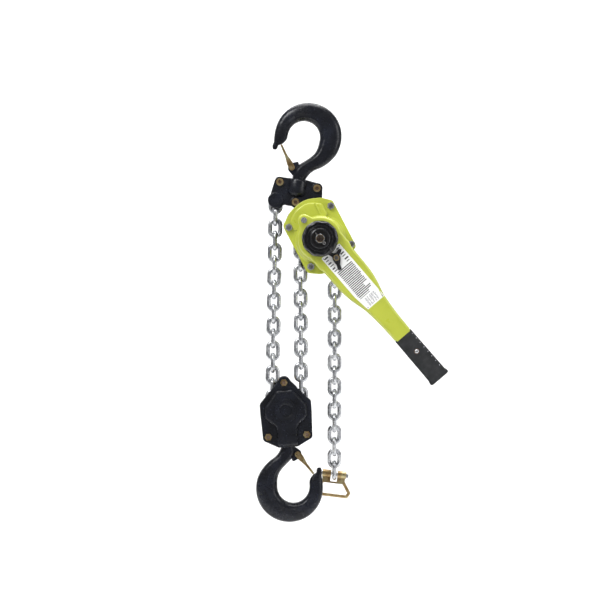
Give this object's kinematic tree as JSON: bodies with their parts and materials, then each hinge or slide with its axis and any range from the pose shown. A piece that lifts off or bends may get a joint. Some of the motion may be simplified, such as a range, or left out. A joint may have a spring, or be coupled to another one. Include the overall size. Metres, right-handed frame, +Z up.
{
  "type": "lever chain hoist",
  "caption": "Two-fall lever chain hoist with swivelling latched hooks, ratchet lever, handwheel, bottom block and stop ring.",
  "frame": {"origin": "centre of the round seat of the top hook, on the hoist's mid plane", "axes": "+Z up, -Y towards the handwheel side, +X towards the lever side"},
  "size_m": [0.4368, 0.2242, 0.9627],
  "materials": {
    "black_paint": "semi-gloss blue-black paint over cast and forged texture",
    "handwheel_black": "gloss black paint",
    "lime_paint": "gloss lime-green powder coat",
    "chain_zinc": "bright zinc plate",
    "yellow_zinc": "yellow passivated zinc",
    "bright_zinc": "clear zinc plate",
    "machined_steel": "machined and oiled",
    "grip_rubber": "matt moulded rubber",
    "label_film": null,
    "friction_lining": "moulded brake lining",
    "bush_bronze": "sintered bronze"
  },
  "bodies": {
    "top_hook": {"top_hook": "black_paint", "top_hook_nut": "machined_steel", "top_latch_pin": "yellow_zinc"},
    "top_latch": {"top_latch": "yellow_zinc"},
    "hoist_body": {"yoke_front": "black_paint", "yoke_rear": "black_paint", "yoke_bolts": "yellow_zinc", "dead_end_pin": "black_paint", "suspension_pin": "machined_steel", "front_side_plate": "black_paint", "rear_side_plate": "black_paint", "stay_bolts": "machined_steel", "stay_nuts": "bright_zinc", "sheave_bearings": "machined_steel", "chain_guide": "black_paint", "chain_stripper": "machined_steel", "brake_cover": "lime_paint", "gear_cover": "lime_paint", "gear_bushes": "bush_bronze", "ratchet_disc": "machined_steel", "pawl_pins": "bright_zinc", "chain_dead_upper": "chain_zinc", "chain_on_sheave": "chain_zinc"},
    "load_sheave": {"load_sheave": "machined_steel", "load_gear": "machined_steel"},
    "drive_shaft": {"drive_shaft": "machined_steel", "brake_hub": "machined_steel", "friction_discs": "friction_lining", "drive_gear": "machined_steel", "castle_nut": "yellow_zinc", "split_pin": "bright_zinc"},
    "handwheel": {"handwheel": "handwheel_black", "handwheel_spring": "bright_zinc"},
    "disc_gear_upper": {"disc_gear_upper": "machined_steel"},
    "disc_gear_lower": {"disc_gear_lower": "machined_steel"},
    "pawl_left": {"pawl_left": "machined_steel"},
    "pawl_right": {"pawl_right": "machined_steel"},
    "lever": {"lever_case_front": "lime_paint", "lever_case_rear": "lime_paint", "lever_screws": "bright_zinc", "label_plate": "label_film", "grip": "grip_rubber", "grip_screw": "bright_zinc"},
    "selector": {"selector_lever": "handwheel_black", "selector_shaft": "machined_steel", "selector_nut": "yellow_zinc"},
    "chain_falls": {"chain_falls": "chain_zinc"},
    "bottom_block": {"block_front": "black_paint", "block_rear": "black_paint", "block_bolts": "yellow_zinc", "idler_axle": "machined_steel"},
    "idler_sheave": {"idler_sheave": "machined_steel"},
    "bottom_hook": {"bottom_hook": "black_paint", "bottom_hook_nut": "machined_steel", "bottom_latch_pin": "yellow_zinc"},
    "bottom_latch": {"bottom_latch": "yellow_zinc"},
    "chain_tail": {"chain_tail": "chain_zinc"},
    "stop_ring": {"stop_ring": "yellow_zinc", "stop_pin": "yellow_zinc"}
  },
  "joints": [
    {"name": "top_hook_swivel", "type": "hinge", "parent": "top_hook", "child": "hoist_body", "pos_m": [-0.01452, 0, -0.11117], "axis": [0.1736, 0, 0.9848], "continuous": true},
    {"name": "top_latch_pivot", "type": "hinge", "parent": "top_hook", "child": "top_latch", "pos_m": [-0.02745, 0, -0.06929], "axis": [0, 1, 0], "range_deg": [0, 35], "stiffness_Nm_per_rad": 0.3, "springref_deg": -22.92},
    {"name": "drive_shaft_turn", "type": "hinge", "parent": "hoist_body", "child": "drive_shaft", "pos_m": [0.0362, 0, -0.2345], "axis": [0, 1, 0], "continuous": true, "deforming": ["chain_on_sheave"]},
    {"name": "load_sheave_turn", "type": "hinge", "parent": "hoist_body", "child": "load_sheave", "pos_m": [0.0362, 0, -0.2345], "axis": [0, 1, 0], "continuous": true},
    {"name": "disc_gear_upper_turn", "type": "hinge", "parent": "hoist_body", "child": "disc_gear_upper", "pos_m": [0.01781, 0, -0.19841], "axis": [0, 1, 0], "continuous": true},
    {"name": "disc_gear_lower_turn", "type": "hinge", "parent": "hoist_body", "child": "disc_gear_lower", "pos_m": [0.05459, 0, -0.27059], "axis": [0, 1, 0], "continuous": true},
    {"name": "handwheel_pull", "type": "slide", "parent": "drive_shaft", "child": "handwheel", "axis": [0, -1, 0], "range_m": [0, 0.008], "stiffness_N_per_m": 900, "springref_m": -0.004, "deforming": ["handwheel_spring"]},
    {"name": "pawl_left_swing", "type": "hinge", "parent": "hoist_body", "child": "pawl_left", "pos_m": [-0.00684, 0, -0.24365], "axis": [0, 1, 0], "range_deg": [0, 12], "stiffness_Nm_per_rad": 0.2, "springref_deg": -17.19},
    {"name": "pawl_right_swing", "type": "hinge", "parent": "hoist_body", "child": "pawl_right", "pos_m": [0.07924, 0, -0.22535], "axis": [0, 1, 0], "range_deg": [0, 12], "stiffness_Nm_per_rad": 0.2, "springref_deg": -17.19},
    {"name": "lever_turn", "type": "hinge", "parent": "hoist_body", "child": "lever", "pos_m": [0.0362, 0, -0.2345], "axis": [0, 1, 0], "continuous": true},
    {"name": "selector_turn", "type": "hinge", "parent": "lever", "child": "selector", "pos_m": [0.07311, 0, -0.27741], "axis": [0, 1, 0], "range_deg": [-48, 0]},
    {"name": "falls_swing", "type": "hinge", "parent": "hoist_body", "child": "chain_falls", "pos_m": [0, 0, -0.33592], "axis": [1, 0, 0], "range_deg": [-12, 0]},
    {"name": "block_tilt", "type": "hinge", "parent": "chain_falls", "child": "bottom_block", "pos_m": [-0.04116, 0, -0.62487], "axis": [0, 1, 0], "range_deg": [-3, 5]},
    {"name": "idler_turn", "type": "hinge", "parent": "bottom_block", "child": "idler_sheave", "pos_m": [-0.04116, 0, -0.62487], "axis": [0, 1, 0], "continuous": true},
    {"name": "bottom_hook_swivel", "type": "hinge", "parent": "bottom_block", "child": "bottom_hook", "pos_m": [-0.03683, 0, -0.68672], "axis": [-0.0698, 0, 0.9976], "continuous": true},
    {"name": "bottom_latch_pivot", "type": "hinge", "parent": "bottom_hook", "child": "bottom_latch", "pos_m": [-0.01406, 0, -0.72573], "axis": [0, 1, 0], "range_deg": [0, 35], "stiffness_Nm_per_rad": 0.3, "springref_deg": -22.92},
    {"name": "tail_swing", "type": "hinge", "parent": "hoist_body", "child": "chain_tail", "pos_m": [0.07044, 0, -0.31438], "axis": [1, 0, 0], "range_deg": [0, 20]},
    {"name": "stop_ring_swing", "type": "hinge", "parent": "chain_tail", "child": "stop_ring", "pos_m": [0.07044, 0.06898, -0.77595], "axis": [0.9925, 0, -0.1219], "range_deg": [-30, 30]}
  ],
  "couplings": [
    {"joint": "load_sheave_turn", "follows": "drive_shaft_turn", "ratio": 0.095238},
    {"joint": "disc_gear_upper_turn", "follows": "drive_shaft_turn", "ratio": -0.28571},
    {"joint": "disc_gear_lower_turn", "follows": "drive_shaft_turn", "ratio": -0.28571}
  ]
}
